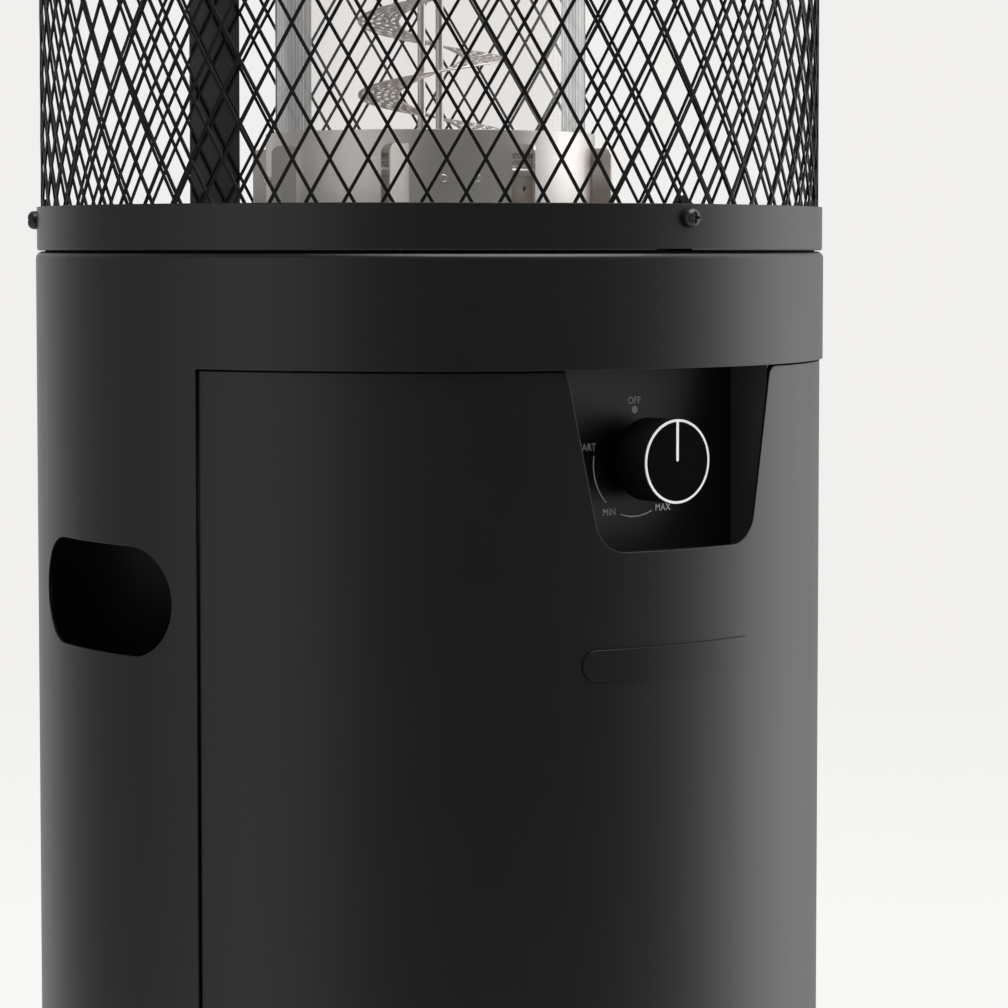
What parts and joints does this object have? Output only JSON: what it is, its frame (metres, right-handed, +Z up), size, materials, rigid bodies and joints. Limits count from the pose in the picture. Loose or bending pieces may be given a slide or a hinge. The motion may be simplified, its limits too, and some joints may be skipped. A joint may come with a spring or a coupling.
{
  "type": "patio heater",
  "caption": "Round gas patio heater: cabinet with hinged door for a gas bottle, recessed turning knob, glass flame tube with spiral, diamond mesh guard, cap and rear wheels.",
  "frame": {"origin": "floor level on the heater's vertical axis, at the bottom of the feet", "axes": "+Z up; -Y is the front, with door and knob; +X is the right-hand side of someone who faces the front"},
  "size_m": [0.4239, 0.424, 1.3685],
  "materials": {
    "body_black": "satin black powder coat",
    "panel_black": "satin black paint",
    "badge_black": "semi-gloss black",
    "mesh_black": "satin black paint",
    "knob_black": "fine-textured black",
    "white_plastic": "plain white",
    "black_plastic": "moulded black",
    "rubber": "black rubber",
    "tyre": "black rubber tread",
    "black_zinc": "black passivated zinc",
    "zinc_steel": "zinc plated",
    "stainless": "satin stainless",
    "aluminium": "drawn tube",
    "brass": "machined brass",
    "copper": "copper lead",
    "ceramic": "glazed white ceramic",
    "fibre": "woven glass fibre",
    "glass": "clear borosilicate glass"
  },
  "bodies": {
    "cabinet": {"base_drum": "body_black", "bottle_deck": "body_black", "rubber_feet": "rubber", "axle_brackets": "zinc_steel", "wheel_axle": "zinc_steel", "axle_caps": "black_plastic", "bottle_guides": "zinc_steel", "body_shell": "body_black", "top_deck": "zinc_steel", "door_jambs": "body_black", "hinge_bracket": "zinc_steel", "hinge_pins": "zinc_steel", "magnet_catches": "black_plastic", "control_box": "panel_black", "valve_body": "brass", "valve_screws": "black_zinc", "gas_inlet": "brass", "supply_pipe": "aluminium", "pilot_pipe": "aluminium", "thermocouple": "copper", "tilt_switch": "black_plastic", "venturi_tube": "zinc_steel", "gas_jet": "brass", "burner_head": "stainless", "burner_cap": "stainless", "pilot_burner": "stainless", "igniter_electrode": "ceramic", "burner_shroud": "stainless", "glass_clips": "stainless", "rivets": "stainless", "glass_gasket_lower": "fibre", "glass_tube": "glass", "spiral_baffle": "stainless", "spiral_rods": "stainless", "ring_gasket": "rubber", "guard_ring_lower": "body_black", "guard_mesh": "mesh_black", "guard_lugs": "mesh_black", "guard_screws": "black_zinc", "deck_screws": "zinc_steel", "seam_strap": "mesh_black", "guard_ring_upper": "body_black", "glass_top_holder": "stainless", "glass_gasket_upper": "fibre", "reflector_cap": "body_black", "cap_spacers": "stainless", "cap_screws": "stainless"},
    "door": {"door_panel": "body_black", "door_stiffener": "body_black", "badge_plate": "badge_black"},
    "plug": {"valve_plug": "brass", "valve_spring": "zinc_steel"},
    "knob": {"knob": "knob_black", "knob_inlay": "white_plastic", "valve_spindle": "brass"},
    "wheel_left": {"wheel_hub_left": "black_plastic", "wheel_tyre_left": "tyre"},
    "wheel_right": {"wheel_hub_right": "black_plastic", "wheel_tyre_right": "tyre"}
  },
  "joints": [
    {"name": "door_swing", "type": "hinge", "parent": "cabinet", "child": "door", "pos_m": [0.17726, -0.07634, 0.4], "axis": [0, 0, 1], "range_deg": [0, 110]},
    {"name": "knob_turn", "type": "hinge", "parent": "cabinet", "child": "plug", "pos_m": [0, -0.14, 0.7034], "axis": [0, -1, 0], "range_deg": [0, 220]},
    {"name": "knob_push", "type": "slide", "parent": "plug", "child": "knob", "axis": [0, 1, 0], "range_m": [0, 0.004], "stiffness_N_per_m": 800, "springref_m": -0.002, "deforming": ["valve_spring"]},
    {"name": "wheel_left_spin", "type": "hinge", "parent": "cabinet", "child": "wheel_left", "pos_m": [-0.06, 0.174, 0.027], "axis": [1, 0, 0], "continuous": true},
    {"name": "wheel_right_spin", "type": "hinge", "parent": "cabinet", "child": "wheel_right", "pos_m": [0.06, 0.174, 0.027], "axis": [1, 0, 0], "continuous": true}
  ]
}
